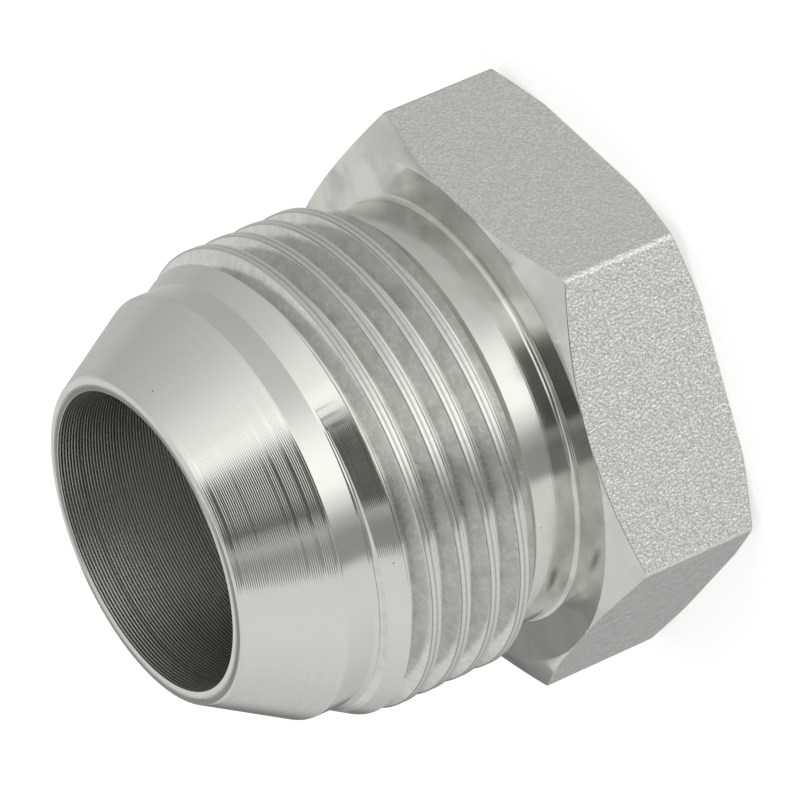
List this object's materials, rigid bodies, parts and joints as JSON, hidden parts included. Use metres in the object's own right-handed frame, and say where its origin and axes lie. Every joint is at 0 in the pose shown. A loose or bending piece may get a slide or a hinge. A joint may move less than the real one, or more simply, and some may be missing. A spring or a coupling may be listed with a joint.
{
  "type": "threaded plug",
  "caption": "Hexagon head screw plug with a parallel pipe thread, a coned sealing nose and a blind bore, for closing a hydraulic port or tube end.",
  "frame": {"origin": "centre of the back face of the hexagon head, which the plug stands on", "axes": "+Z along the plug's axis, from the head to the nose; +X through a corner of the hexagon"},
  "size_m": [0.0414, 0.036, 0.0351],
  "materials": {
    "zinc_plated_steel": "satin bright zinc plate, turned on the cone, bore and neck, blasted on the hexagon flats"
  },
  "bodies": {
    "root": {"threaded_plug": "zinc_plated_steel"}
  },
  "joints": []
}
